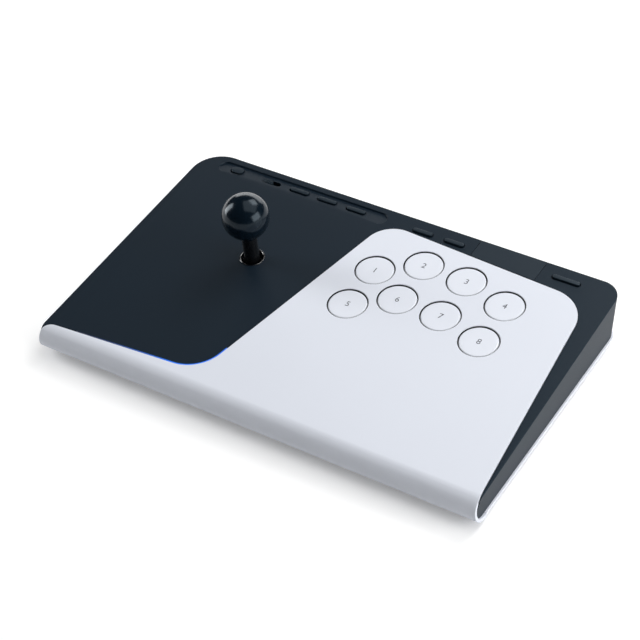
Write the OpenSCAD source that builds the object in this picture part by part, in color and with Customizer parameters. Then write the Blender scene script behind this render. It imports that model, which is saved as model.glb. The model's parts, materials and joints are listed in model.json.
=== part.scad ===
// Arcade fight stick: a wedge-shaped case with a ball-top lever on the left, eight round push
// buttons in a faceplate that wraps round the front edge, and a strip of small controls at the rear.
// Millimetres, X to the right, Y to the rear, Z up, origin on the table under the middle of the case.

/* [Case] */
// Width of the case across its top edge at the rear
case_w = 354.2; // [345.2:0.5:370.2]
// Depth of the case from the front edge to the rear wall
case_d = 221; // [214:0.2:228]
// Radius of the rounded front edge, which with the slope and the depth sets the height at the rear
nose_r = 11.3; // [9.6:0.05:13]
// Slope of the top towards the player, in degrees
top_slope = 4.53; // [3:0.01:6]
// Draft of the side walls, measured from the sloped top, in degrees
wall_draft = 2.45; // [0.5:0.05:4]
// Draft of the rear wall, in degrees
rear_draft = 6; // [2:0.5:8]
// Wall of the upper shell
shell_t = 2.6; // [2:0.1:3.2]
// Height of the underside of the case above the table
floor_gap = 3.1; // [2:0.1:5]
// Thickness of the base plate
base_t = 2.6; // [2:0.1:3.5]
// How far the base plate stands out past the dark wall
base_lip = 1.4; // [0:0.1:2]
// Corner radius at the rear left
corner_left_r = 23.6; // [15:0.1:35]
// Corner radius at the rear right
corner_right_r = 15; // [12:0.1:30]
// Chamfer along the top edges of the dark shell
edge_chamfer = 0.4; // [0.3:0.1:1.2]

/* [Faceplate] */
// Thickness of the faceplate
plate_t = 2.4; // [1.8:0.1:3]
// How far the faceplate stands above the dark top
plate_proud = 0.9; // [0.3:0.1:1.4]
// How far the faceplate's ends stay inside the dark side walls at the top
plate_side_gap = 0.9; // [0:0.1:2]
// Outward lean of the faceplate's ends towards the table, in degrees
end_lean = 5; // [0:0.5:8]
// Seam between the faceplate and the dark shell
seam_gap = 0.3; // [0.1:0.05:0.6]
// Depth of the front strip at its left end
front_strip = 8.4; // [7.6:0.1:12]
// Rise of the front seam towards the middle, in degrees
seam_rise = 4.23; // [0:0.01:8]
// Where the seam turns to the rear, left of the middle of the case
inner_corner_x = 48.5; // [40:0.1:60]
// Radius of that turn
inner_corner_r = 28; // [20:1:50]
// Lean of the diagonal seam, in degrees from straight back
diagonal_lean = 12.24; // [8:0.02:16]
// Distance of the faceplate's rear left corner from the rear edge
plate_back_gap = 14.66; // [12:0.02:20]
// Fall of the faceplate's rear edge towards the right, in degrees
rear_fall = 3.57; // [0:0.01:6]
// Inset of the rear right corner from the faceplate's end
right_inset = 15.3; // [8:0.1:24]
// Radius of its rear left corner
plate_left_r = 21.7; // [15:0.1:35]
// Radius of its rear right corner
plate_right_r = 28.3; // [15:0.1:35]
// Radius of the rounded tip at the left end
plate_tip_r = 11; // [3:0.5:12]
// How far the lower lip runs back past the middle of the rounded front edge
wrap_return = 2.2; // [1:0.1:5]

/* [Main buttons] */
// Diameter of the holes in the faceplate
button_hole_d = 30; // [29:0.1:30.6]
// Least web between two holes, which sets the pitch
button_web = 6; // [5.4:0.1:8]
// Gap all round between a cap and the thin rim of its housing
cap_gap = 0.3; // [0.2:0.05:0.8]
// How far a cap's top lies below the faceplate
cap_sink = 0.5; // [0:0.1:1]
// Thickness of a cap's top and skirt
cap_t = 1.6; // [1.2:0.1:2.2]
// Rounding of a cap's upper edge
cap_edge_r = 0.6; // [0.3:0.1:1.5]
// Travel of a main button
button_travel = 2; // [1:0.1:2.4]
// First column, right of the middle of the case
first_button_x = 10.1; // [8:0.1:11]
// First column's rear button, forward of the rear edge along the slope
first_button_back = 62.2; // [59:0.1:64]

/* [Lever] */
// Diameter of the ball
ball_d = 35; // [30:0.5:40]
// Height of the ball's centre above the dark top
ball_h = 39.9; // [36:0.1:48]
// Diameter of the shaft
shaft_d = 8; // [7:0.1:9]
// Outer diameter of the shaft cover
cover_d = 11.4; // [10.6:0.1:11.8]
// Lever's place, left of the middle of the case
lever_x = 78.5; // [74:0.1:84]
// Lever's place, forward of the rear edge along the slope
lever_back = 89.4; // [80:0.1:94]
// Depth of the pivot below the dark top
pivot_depth = 11; // [10.9:0.1:11.6]
// Largest tilt about each of the two axes, in degrees
lever_tilt = 8; // [5:0.5:8]
// Outer diameter of the collar round the lever
collar_d = 18.6; // [18:0.1:21]

/* [Rear strip] */
// Distance of the row of small controls from the rear edge, along the slope
strip_back = 11.9; // [11:0.1:12.6]
// Width of a small button across its short side
pill_w = 4.5; // [3.5:0.1:5]
// Length of a small button
pill_l = 16.6; // [14:0.1:17.5]
// Length of the larger button at the right
wide_pill_l = 22; // [20:0.1:23]
// How far a small button stands above its surroundings
pill_proud = 0.9; // [0.4:0.1:1.5]
// Travel of a small button
pill_travel = 0.6; // [0.3:0.1:0.7]
// Length of the oval button
home_l = 11; // [9:0.1:12]
// Width of the oval button
home_w = 7; // [5:0.1:7.5]
// Length of the slide switch's opening
slider_slot_l = 16; // [14:0.1:17]
// Length of its knob
slider_knob_l = 8.5; // [6:0.1:9]
// Width of the touch panel
touch_w = 52.7; // [40:0.1:54]
// Thickness of the touch panel
touch_t = 2.2; // [1.6:0.1:2.4]
// Travel of the touch panel
touch_travel = 0.4; // [0.2:0.1:0.5]
// Width of the groove round the left controls
groove_w = 12; // [9:0.1:12.5]
// Tilt of the groove's floor, in degrees
groove_tilt = 5.5; // [2:0.5:7]

/* [Inside] */
// Thickness of the circuit boards
board_t = 1.6; // [1:0.1:2]
// Length of the main circuit board
main_board_l = 96; // [70:1:100]
// Depth of the main circuit board
main_board_d = 50; // [30:1:56]
// Length of the battery
battery_l = 70; // [50:1:76]
// Depth of the battery
battery_d = 42; // [30:1:48]
// Thickness of the battery
battery_t = 7.5; // [5:0.1:9]
// Diameter of a rubber foot
foot_d = 18; // [12:0.5:22]
// Shank diameter of the case screws
screw_d = 2.8; // [2.4:0.1:3.2]

/* [Hidden] */
$fn = 96;

// Overrun of every cut
over = 1;
// Clearance round a fixed piece in its seat
seat_clear = 0.15;
// Clearance round a pushed piece in its opening
slide_clear = 0.3;
// Radial clearance of a turning pin
pin_clear = 0.05;
// Gap between a moving piece's flange and the wall over it
flange_gap = 0.3;
// Half a turn, in degrees
half_turn = 180;
// Number of steps in each rounded corner of an outline
corner_steps = 14;
// Sides and rings a turn of the coil
spring_sides = 6;
spring_steps = 20;

// The case: half sizes, drafts, the top line and the rounded front edge
half_w = case_w / 2;
half_d = case_d / 2;
draft_k = tan(wall_draft);
draft_c = cos(wall_draft);
rear_k = tan(rear_draft);
rear_c = cos(rear_draft);
seat_drop = plate_t - plate_proud;
roof_w = -seat_drop - shell_t;
front_h = nose_r * (1 + cos(top_slope) - sin(top_slope)) / cos(top_slope);
rear_h = floor_gap + front_h - plate_proud / cos(top_slope) + case_d * tan(top_slope);
mid_h = rear_h - half_d * tan(top_slope);
nose_y = -half_d + nose_r;
nose_z = floor_gap + nose_r;
shell_z0 = floor_gap + base_t;
rear_v = half_d / cos(top_slope);

// The rear corners are cones, tilted to touch the side wall and the rear wall, and grown a hair to
// cross both
rear_lean = rear_draft + top_slope;
corner_k = cos(rear_lean) * sin(wall_draft) / (1 - sin(rear_lean) * sin(wall_draft));
corner_c = cos(atan(corner_k));
corner_tilt = rear_lean - atan(corner_k);
corner_over = 0.02;
corner_back_share = corner_c / cos(rear_lean);
corner_side_share = corner_c / draft_c;

// The faceplate's outline, from its front left corner anticlockwise
plate_half = half_w - plate_side_gap;
tip_over = 1.2;
seam_start = [-plate_half, -half_d + front_strip];
seam_turn = [-inner_corner_x, seam_start[1] + (plate_half - inner_corner_x) * tan(seam_rise)];
plate_back_v = half_d - plate_back_gap;
plate_left_x = seam_turn[0] + (plate_back_v - seam_turn[1]) * tan(diagonal_lean);
plate_right_x = plate_half - right_inset;
plate_right_v = plate_back_v - (plate_right_x - plate_left_x) * tan(rear_fall);
front_v = -half_d - nose_r;
right_bend_r = half_w;
right_bend_x = plate_right_x + right_inset * (plate_right_v - nose_y) / (plate_right_v + half_d);
plate_points = [
    [-plate_half - tip_over, front_v],
    [plate_half + 3 * over, front_v],
    [right_bend_x, nose_y],
    [plate_right_x, plate_right_v],
    [plate_left_x, plate_back_v],
    seam_turn,
    seam_start - tip_over * [1, tan(seam_rise)]
];
plate_radii = [0, 0, right_bend_r, plate_right_r, plate_left_r, inner_corner_r, plate_tip_r];

// The light bar stands in the seam between the faceplate and the shell
light_t = 1.2;
light_proud = 0.15;
light_end_share = 0.85;
light_x0 = -half_w * light_end_share;
light_x1 = -inner_corner_x + inner_corner_r / 2;
light_v1 = seam_turn[1] + inner_corner_r;
light_board_w = 6;
light_board_x0_share = 0.74;
light_board_l = 64;
led_l = 3;
led_w = 2.4;
led_h = 1;
led_shares = [0.08, 0.25, 0.42, 0.58, 0.75, 0.92];
light_board_gap = 0.4;

// Main buttons: places in shares of the pitch, from the first column's rear button
button_pitch = button_hole_d + button_web;
row_step_share = 1.068;
first_button_v = rear_v - first_button_back;
column_shares = [[0, 0], [0.821, 0.541], [1.804, 0.508], [2.795, 0.2275]];
function button_place(i) = [
    first_button_x + column_shares[(i - 1) % 4][0] * button_pitch,
    first_button_v + (column_shares[(i - 1) % 4][1] - (i > 4 ? row_step_share : 0)) * button_pitch
];
switch_lip_t = 0.9;
post_d = 5.6;
rim_t = 0.3;
rim_sink = 0.15;
hole_r = button_hole_d / 2;
rim_r = hole_r - seat_clear;
cap_r = rim_r - rim_t - cap_gap;
cap_top = plate_proud - cap_sink;
barrel_t = 1.5;
barrel_r = rim_r + barrel_t + slide_clear;
lip_t = 1;
cap_flange_t = 1.2;
cap_flange_out = 0.7;
housing_floor_t = 1.4;
lip_w0 = roof_w - seat_clear;
cap_flange_w1 = lip_w0 - lip_t - flange_gap;
cap_flange_w0 = cap_flange_w1 - cap_flange_t;
housing_floor_w1 = cap_flange_w0 - button_travel - flange_gap - switch_lip_t;
housing_w0 = housing_floor_w1 - housing_floor_t;

// Key switches under the caps
switch_s = 13.8;
switch_lip_s = 15.6;
switch_top_s = 12.4;
switch_top_t = 2.2;
switch_below = 4.4;
post_below = 1.6;
switch_w0 = housing_w0 - switch_below + housing_floor_t;
switch_top_w = housing_floor_w1 + switch_lip_t + switch_top_t;
post_w0 = switch_top_w - post_below;
switch_bore_w0 = post_w0 - button_travel - slide_clear;

// Button board, carried by columns of the shell
button_board_w1 = switch_w0;
button_board_margin = 6;
board_screw_r = 1.1;
board_column_r = 3;
board_head_r = 2.2;
board_head_t = 1.3;
board_screw_in = 6;
bb_x0 = first_button_x - barrel_r - button_board_margin;
bb_x1 = button_place(4)[0] + barrel_r + button_board_margin / 2;
bb_v0 = button_place(5)[1] - barrel_r - button_board_margin / 2;
bb_v1 = button_place(2)[1] + barrel_r + button_board_margin / 2;
bb_mid_x = (button_place(2)[0] + button_place(3)[0]) / 2;
bb_columns = [for (x = [bb_x0 + board_column_r, bb_mid_x, bb_x1 - board_column_r],
    v = [bb_v0 + board_column_r, bb_v1 - board_column_r]) [x, v]];

// Lever: gimbal with two crossed axes, spring, gate and sensor board
lever_v = rear_v - lever_back;
shaft_r = shaft_d / 2;
cover_r = cover_d / 2;
ball_r = ball_d / 2;
pin_r = 2;
ring_h = 5.6;
hub_h = 6;
hub_wall = 2.5;
hub_gap = 2.5;
hub_r = shaft_r + hub_wall;
ring_in_r = hub_r + hub_gap;
ring_t = 3.5;
ring_out_r = ring_in_r + ring_t;
trunnion_l = 4.7;
bearing_gap = 0.8;
bearing_t = 4;
swing_gap = 2.5;
frame_in_u = ring_out_r + bearing_gap;
frame_out_u = frame_in_u + bearing_t;
frame_in_v = ring_out_r + swing_gap;
frame_out_v = frame_in_v + shell_t;
flange_t = 2;
flange_l = 60;
flange_d = 44;
lever_screw_r = 1.25;
lever_screw_in = 2.6;
lever_head_r = 2.4;
lever_head_t = 1.8;
ring_reach = ring_out_r * sin(lever_tilt) + ring_h / 2 * cos(lever_tilt);
seat_ring_w1 = -pivot_depth - ring_reach - slide_clear;
seat_ring_t = 1.2;
seat_ring_w0 = seat_ring_w1 - seat_ring_t;
shaft_swing = 2.4;
seat_hole_r = shaft_r + shaft_swing;
spring_h = 4;
spring_r = 7;
spring_wire_r = 0.4;
spring_turns = 2.5;
spring_w1 = seat_ring_w0 - flange_gap;
spring_w0 = spring_w1 - spring_h;
actuator_r = 8.5;
actuator_flange_t = 1.2;
actuator_nose_r = 5;
actuator_nose_h = 1.2;
actuator_w1 = spring_w0 - seat_clear;
actuator_w0 = actuator_w1 - actuator_flange_t - actuator_nose_h;
actuator_arm = -pivot_depth - actuator_w1 + actuator_flange_t;
gate_half = actuator_r + actuator_arm * sin(lever_tilt) + slide_clear;
gate_w = 40;
gate_t = 2.4;
gate_corner_r = 4;
gate_rise = 0.4;
gate_w1 = actuator_w1 + gate_rise;
leg_r = 2.6;
leg_inset = 0.2;
leg_at = gate_w / 2 - leg_r - leg_inset;
lever_board_s = 30;
lever_board_hole_r = 10.6;
sensor_s = 2.2;
sensor_h = 0.9;
collar_r = collar_d / 2;
collar_lip = 0.35;
collar_rim = 0.35;
throat_depth = 3;
throat_swing = (pivot_depth - throat_depth) * tan(lever_tilt) * sqrt(2);
throat_r = cover_r / cos(lever_tilt) + throat_swing + slide_clear;
cover_below = 7;
cover_in_ball = 1.5;
cover_top = ball_h - ball_r + cover_in_ball;
neck_t = 0.5;
neck_r = cover_r + neck_t;
neck_drop = 2.6;
neck_fillet = 4;
neck_steps = 6;
shaft_in_ball = 9;

// Small controls along the rear edge
strip_v = rear_v - strip_back;
pill_shares = [-0.4853, -0.3463, -0.2029, 0.1209, 0.2679, 0.7762];
home_share = -0.8057;
slider_share = -0.6269;
touch_share = 0.5117;
pill_flange_out = 1;
pill_flange_t = 0.8;
pill_stem_r = 1.5;
pill_stem_h = 0.6;
pill_edge = 0.4;
slider_end_gap = 0.5;
slider_travel = slider_slot_l - slider_knob_l - 2 * slider_end_gap;
slider_plate_l = 15;
slider_ridge = 0.7;
slider_x = half_w * slider_share;
slider_rest_x = slider_x - slider_travel / 2;
groove_x0_share = 0.894;
groove_x1_share = 0.055;
groove_l = half_w * (groove_x0_share - groove_x1_share);
groove_x = -half_w * (groove_x0_share + groove_x1_share) / 2;
groove_front_v = strip_v - groove_w / 2;
groove_floor = -groove_w / 2 * tan(groove_tilt);
touch_x = half_w * touch_share;
touch_flange_out = 1.2;
touch_flange_t = 1;
touch_leg_t = 1.4;
touch_back_share = 0.25;
strip_flange_w1 = roof_w - flange_gap;
strip_flange_w0 = strip_flange_w1 - pill_flange_t;
strip_stem_w0 = strip_flange_w0 - pill_stem_h;
tact_gap = 0.2;
tact_w1 = strip_stem_w0 - pill_travel - tact_gap;
tact_h = 2.4;
tact_s = 6;
strip_board_w1 = tact_w1 - tact_h;
strip_board_d = 11.5;
strip_column_r = 2.5;
strip_column_gap = 0.6;
strip_board_end = 1.5;
strip_column_out = pill_flange_out + strip_column_gap + strip_column_r;
strip_columns = [
    half_w * home_share - home_l / 2 - strip_column_out,
    half_w * pill_shares[2] + pill_l / 2 + strip_column_out,
    half_w * pill_shares[3] - pill_l / 2 - strip_column_out,
    half_w * pill_shares[5] + wide_pill_l / 2 + strip_column_out
];
strip_board_x0 = strip_columns[0] - strip_column_r - strip_board_end;
strip_board_x1 = strip_columns[3] + strip_column_r + strip_board_end;

// Rear socket
usb_x_share = 0.02;
usb_w = 8.94;
usb_h = 3.2;
usb_wall = 0.3;
usb_l = 7.6;
usb_tongue_w = 6.6;
usb_tongue_t = 0.7;
usb_tongue_l = 5;
usb_sink = 0.4;
usb_x = half_w * usb_x_share;
usb_mid_w = strip_board_w1 + usb_h / 2;
usb_end_y = half_d - rear_k * (rear_h - top_z(half_d, usb_mid_w)) - usb_sink;
usb_end_v = (usb_end_y + usb_mid_w * sin(top_slope)) / cos(top_slope);

// Screws and columns of the case
column_r = 4;
pilot_clear = 0.1;
screw_r = screw_d / 2;
screw_head_r = 3;
screw_head_t = 1.5;
screw_in = 9;
screw_shares = [[-0.9, -0.775], [-0.9, 0], [-0.92, 0.785], [0.9, -0.775], [0.9, 0], [0.92, 0.785],
    [-0.12, -0.785], [0.42, -0.785]];
foot_shares = [[-0.79, -0.71], [-0.735, 0.77], [0.79, -0.71], [0.735, 0.77]];
foot_r = foot_d / 2;
foot_sink = 0.6;
foot_chamfer = 0.6;

// Main board and battery on the base plate
main_board_x_share = 0.43;
main_board_y_share = -0.45;
main_board_x = half_w * main_board_x_share;
main_board_y = half_d * main_board_y_share;
standoff_h = 4;
standoff_r = 3;
standoff_in = 4;
main_board_z0 = shell_z0 + standoff_h;
chip_t = 1.6;
chip_shares = [[-0.2, 0.1, 0.22, 0.3], [0.18, -0.15, 0.12, 0.18], [0.05, 0.28, 0.1, 0.14]];
battery_x = -half_w * 0.53;
battery_y = -half_d * 0.47;
cradle_t = 1.6;
cradle_h = 5;
cradle_clear = 0.3;

// Height of the dark top at a distance back from the middle, lifted by w along its normal
function top_z(y, w = 0) = mid_h + y * tan(top_slope) + w / cos(top_slope);

function unit(p) = p / norm(p);
function turned(p) = [p[1], -p[0]];
function cross_of(p, q) = p[0] * q[1] - p[1] * q[0];

// Where the line through p along a meets the line through q along b
function meet(p, a, q, b) = p + a * cross_of(q - p, b) / cross_of(a, b);

// Corner points of an anticlockwise outline, moved outwards by g
function grown(points, g) = [
    for (i = [0:len(points) - 1])
        let (n = len(points), here = points[i], last = points[(i + n - 1) % n], next = points[(i + 1) % n])
        let (a = unit(here - last), b = unit(next - here))
        meet(here + g * turned(a), a, here + g * turned(b), b)
];

// Points of one rounded corner
function round_corner(before, corner, after, r) =
    let (u = unit(before - corner), v = unit(after - corner), half = acos(u * v) / 2)
    let (middle = corner + unit(u + v) * r / sin(half), reach = r / tan(half))
    let (p = corner + u * reach - middle, q = corner + v * reach - middle)
    let (start = atan2(p[1], p[0]), way = atan2(q[1], q[0]) - start)
    let (swing = (way + 3 * half_turn) % (2 * half_turn) - half_turn)
    [for (k = [0:corner_steps]) let (a = start + swing * k / corner_steps) middle + r * [cos(a), sin(a)]];

// An anticlockwise outline with its corners rounded, moved outwards by g
function outline(points, radii, g) =
    let (p = grown(points, g), n = len(points))
    [
        for (i = [0:n - 1])
            let (last = p[(i + n - 1) % n], next = p[(i + 1) % n])
            let (outer = cross_of(p[i] - last, next - p[i]) > 0)
            let (r = radii[i] == 0 ? 0 : radii[i] + (outer ? g : -g))
            each (r <= 0 ? [p[i]] : round_corner(last, p[i], next, r))
    ];

// Places its children on the dark top, u to the right, v up the slope, w off the surface
module on_top(u = 0, v = 0, w = 0) {
    translate([0, 0, mid_h]) rotate([top_slope, 0, 0]) translate([u, v, w]) children();
}

module at_lever(w = 0) {
    on_top(-lever_x, lever_v, w) children();
}

// A block with round ends, l long and w wide, standing on its origin
module slot_block(l, w, h) {
    translate([-(l - w) / 2, -w / 2, 0]) cube([l - w, w, h]);
    for (side = [-1, 1]) translate([side * (l - w) / 2, 0, 0]) cylinder(d = w, h = h);
}

// A rectangular block centred on its origin in plan
module slab(l, d, h) {
    translate([-l / 2, -d / 2, 0]) cube([l, d, h]);
}

// The case's cross-section for a surface w above the dark top, as a solid along X
module long_body(w, g, low, half) {
    r = nose_r - plate_proud + w;
    rear_y = (half_d - g / rear_c - rear_k * (rear_h - top_z(0, w))) / (1 - rear_k * tan(top_slope));
    rear_low_y = half_d - g / rear_c - rear_k * (rear_h - low);
    translate([-half, 0, 0]) {
        translate([0, nose_y, nose_z]) rotate([0, 90, 0]) cylinder(r = r, h = 2 * half);
        rotate([90, 0, 90]) linear_extrude(2 * half) polygon([
            [nose_y, nose_z],
            [nose_y, low],
            [rear_low_y, low],
            [rear_y, top_z(rear_y, w)],
            [nose_y - r * sin(top_slope), nose_z + r * cos(top_slope)]
        ]);
    }
}

// What two end walls leave: each is half from the middle at the top and leans by k outwards going up
module between_walls(half, k) {
    low = -rear_h - 2 * over;
    high = 2 * over;
    on_top(0, case_d, 0) rotate([90, 0, 0]) linear_extrude(2 * case_d) polygon([
        [-half - k * low, low], [half + k * low, low], [half + k * high, high], [-half - k * high, high]
    ]);
}

// What lies outside the drafted round corner at the rear, on one side
module corner_waste(side, r, g) {
    reach = r + 4 * over;
    low = -rear_h - 4 * over;
    x = side * (half_w - r * corner_side_share);
    on_top(x, rear_v - r * corner_back_share) rotate([-corner_tilt, 0, 0]) difference() {
        translate([side > 0 ? 0 : -reach, 0, low + over]) cube([reach, reach, 2 * over - low]);
        translate([0, 0, low]) cylinder(
            r1 = r + corner_over - g / corner_c + corner_k * low,
            r2 = r + corner_over - g / corner_c + corner_k * 4 * over,
            h = 4 * over - low
        );
    }
}

// The wedge with drafted walls: its top w above the dark top, its walls inset by g, cut off below low
module case_block(w, g, low) {
    difference() {
        intersection() {
            long_body(w, g, low, half_w + 3 * over);
            between_walls(half_w - g / draft_c, draft_k);
            translate([-case_w, -case_d, low]) cube([2 * case_w, 2 * case_d, rear_h + over - low]);
        }
        corner_waste(-1, corner_left_r, g);
        corner_waste(1, corner_right_r, g);
    }
}

// What a chamfer of c takes off the straight edge from p to q, with the case on the left hand
module edge_bar(p, q, c) {
    translate([p[0], p[1], 0]) rotate([0, 0, atan2(q[1] - p[1], q[0] - p[0])]) rotate([45, 0, 0])
        translate([-over, -2 * c, -c / sqrt(2)]) cube([norm(q - p) + 2 * over, 4 * c, 3 * c]);
}

// The chamfer along the side and rear edges of the dark top and round its rear corners
module edge_waste(c) on_top() {
    edge_bar([half_w, -rear_v], [half_w, rear_v - corner_right_r], c);
    edge_bar([half_w - corner_right_r, rear_v], [-half_w + corner_left_r, rear_v], c);
    edge_bar([-half_w, rear_v - corner_left_r], [-half_w, -rear_v], c);
    for (side = [-1, 1]) {
        r = (side > 0 ? corner_right_r : corner_left_r) * (1 + corner_back_share) / 2;
        translate([side * (half_w - r), rear_v - r, -2 * c]) difference() {
            translate([side > 0 ? 0 : -r - 2 * c, 0, 0]) cube([r + 2 * c, r + 2 * c, 3 * c]);
            translate([0, 0, -c]) cylinder(r1 = r + 2 * c, r2 = r - 3 * c, h = 5 * c);
        }
    }
}

module plate_prism(g, w0, w1) {
    on_top(0, 0, w0) linear_extrude(w1 - w0) polygon(outline(plate_points, plate_radii, g));
}

module light_band(near, far, w0, w1) {
    intersection() {
        difference() {
            plate_prism(far, w0, w1);
            plate_prism(near, w0 - over, w1 + over);
        }
        on_top(light_x0, front_v, w0 - over)
            cube([light_x1 - light_x0, light_v1 - front_v, w1 - w0 + 2 * over]);
    }
}

// Places of the case screws and of the feet
function spread(shares) = [for (s = shares) [s[0] * half_w, s[1] * half_d]];

module case_columns() {
    for (p = spread(screw_shares)) translate([p[0], p[1], 0]) cylinder(r = column_r, h = rear_h);
}

module case_pilots() {
    for (p = spread(screw_shares)) translate([p[0], p[1], -over])
        cylinder(r = screw_r + pilot_clear, h = shell_z0 + screw_in + over);
}

// Opening of a small button through the top wall
module strip_hole(share, l, w) {
    on_top(half_w * share, strip_v, roof_w - over)
        slot_block(l + 2 * slide_clear, w + 2 * slide_clear, -roof_w + 2 * over);
}

// The touch panel's outline, grown by g on its free sides
module touch_prism(g, w0, w1) {
    difference() {
        on_top(touch_x, strip_v, w0) slab(touch_w + 2 * g, case_d, w1 - w0);
        plate_prism(seam_gap + light_t - g, w0 - over, w1 + over);
        on_top(touch_x, -half_d, w0 - over)
            slab(case_w, case_d * (1 + touch_back_share), w1 - w0 + 2 * over);
    }
}

module upper_shell() color("#27313b") difference() {
    union() {
        case_block(-seat_drop, 0, shell_z0);
        intersection() {
            case_block(0, 0, shell_z0);
            difference() {
                on_top(0, 0, -seat_drop - over) slab(2 * case_w, 2 * case_d, seat_drop + 2 * over);
                plate_prism(seam_gap, -seat_drop - 2 * over, 2 * over);
            }
        }
    }
    difference() {
        case_block(roof_w, shell_t, -over);
        case_columns();
        for (p = bb_columns) on_top(p[0], p[1], button_board_w1) cylinder(r = board_column_r, h = rear_h);
        for (x = strip_columns) on_top(x, strip_v, strip_board_w1) cylinder(r = strip_column_r, h = rear_h);
    }
    case_pilots();
    for (p = bb_columns) on_top(p[0], p[1], button_board_w1 - over)
        cylinder(r = board_screw_r + pilot_clear, h = board_screw_in + over);
    for (x = strip_columns) on_top(x, strip_v, strip_board_w1 - over)
        cylinder(r = board_screw_r + pilot_clear, h = board_screw_in / 2 + over);
    for (i = [1:8]) on_top(button_place(i)[0], button_place(i)[1], roof_w - over)
        cylinder(r = hole_r, h = shell_t + 2 * over);
    at_lever(roof_w - over) cylinder(r = collar_r + seat_clear / 2, h = -roof_w + 2 * over);
    lever_screw_places() translate([0, 0, roof_w - over])
        cylinder(r = lever_screw_r + pilot_clear, h = lever_screw_in + over + pilot_clear);
    light_band(seam_gap - seat_clear, seam_gap + light_t + seat_clear, roof_w - over, 2 * over);
    on_top(groove_x, groove_front_v) rotate([-groove_tilt, 0, 0]) translate([0, groove_w / 2, 0])
        slot_block(groove_l, groove_w, 4 * over);
    strip_hole(home_share, home_l, home_w);
    on_top(slider_x, strip_v, roof_w - over) slot_block(slider_slot_l, pill_w, -roof_w + 2 * over);
    for (i = [1:6]) strip_hole(pill_shares[i - 1], i == 6 ? wide_pill_l : pill_l, pill_w);
    edge_waste(edge_chamfer);
    touch_prism(slide_clear, -touch_t - touch_travel - slide_clear, 2 * over);
    intersection() {
        touch_prism(slide_clear, roof_w - over, 2 * over);
        case_block(2 * over, shell_t, -over);
    }
    on_top(usb_x, usb_end_v - 2 * shell_t, usb_mid_w) rotate([-90, 0, 0])
        slot_block(usb_w + 2 * seat_clear, usb_h + 2 * seat_clear, 4 * shell_t);
}

module faceplate() color("#dde2ec") difference() {
    intersection() {
        long_body(plate_proud, 0, floor_gap, half_w + 4 * over);
        between_walls(plate_half, -tan(end_lean));
        union() {
            plate_prism(0, plate_proud - nose_r - over, 2 * over);
            translate([-case_w, -case_d, 0])
                cube([2 * case_w, case_d + nose_y + wrap_return, nose_z - over / 2]);
        }
    }
    long_body(-seat_drop, 0, floor_gap + plate_t, half_w + 5 * over);
    translate([-case_w, nose_y + wrap_return, -over]) cube([2 * case_w, case_d, floor_gap + plate_t + over]);
    for (i = [1:8]) on_top(button_place(i)[0], button_place(i)[1], -seat_drop - over)
        cylinder(r = hole_r, h = plate_t + 2 * over);
}

// The base plate's outline as a solid between two heights
module base_block(z0, z1) {
    intersection() {
        case_block(0, -base_lip, z0);
        translate([-case_w, nose_y + wrap_return + seam_gap, z0 - over])
            cube([2 * case_w, case_d, z1 - z0 + over]);
    }
}

module main_board_corners() {
    reach = [main_board_l / 2 - standoff_in, main_board_d / 2 - standoff_in];
    for (x = [-1, 1], y = [-1, 1])
        translate([main_board_x + x * reach[0], main_board_y + y * reach[1], 0]) children();
}

module cradle_block(g, h) {
    slab(battery_l + 2 * g, battery_d + 2 * g, h);
}

module base_plate() color("#e6e8ee") difference() {
    union() {
        base_block(floor_gap, shell_z0);
        translate([0, 0, shell_z0 - over]) {
            main_board_corners() cylinder(r = standoff_r, h = standoff_h + over);
            translate([battery_x, battery_y, 0]) difference() {
                cradle_block(cradle_clear + cradle_t, cradle_h + over);
                translate([0, 0, -over]) {
                    cradle_block(cradle_clear, cradle_h + 3 * over);
                    slab(battery_l / 2, 2 * battery_d, cradle_h + 3 * over);
                    slab(2 * battery_l, battery_d / 2, cradle_h + 3 * over);
                }
            }
        }
    }
    for (p = spread(screw_shares)) translate([p[0], p[1], 0]) {
        cylinder(r = screw_r + pilot_clear, h = rear_h);
        cylinder(r = screw_head_r + pilot_clear, h = floor_gap + screw_head_t);
    }
    for (p = spread(foot_shares)) translate([p[0], p[1], 0])
        cylinder(r = foot_r + seat_clear, h = floor_gap + foot_sink);
    translate([0, 0, shell_z0 - base_t / 2]) main_board_corners()
        cylinder(r = board_screw_r + pilot_clear, h = rear_h);
}

module rubber_feet() color("#2b2c30") for (p = spread(foot_shares)) translate([p[0], p[1], 0]) {
    cylinder(r1 = foot_r - foot_chamfer, r2 = foot_r, h = foot_chamfer);
    translate([0, 0, foot_chamfer]) cylinder(r = foot_r, h = floor_gap + foot_sink - foot_chamfer);
}

module case_screws() color("#8d9095") for (p = spread(screw_shares)) translate([p[0], p[1], floor_gap]) {
    difference() {
        cylinder(r = screw_head_r, h = screw_head_t);
        translate([0, 0, -over]) cylinder(r = screw_r / 2, h = screw_head_t / 2 + over, $fn = 6);
    }
    translate([0, 0, screw_head_t / 2]) cylinder(r = screw_r, h = base_t + screw_in - screw_head_t);
}

module light_bar() color("#5f87ff") light_band(seam_gap, seam_gap + light_t, roof_w, light_proud);

module light_board() color("#2f5a3c") {
    x0 = -half_w * light_board_x0_share;
    v0 = seam_start[1] + (plate_half + x0) * tan(seam_rise) + light_t;
    on_top(x0, v0, roof_w - light_board_gap) rotate([0, 0, seam_rise]) {
        translate([0, -light_board_w / 2, -led_h - board_t]) cube([light_board_l, light_board_w, board_t]);
        for (s = led_shares) translate([s * light_board_l, 0, -led_h]) slab(led_l, led_w, led_h);
    }
}

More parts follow.
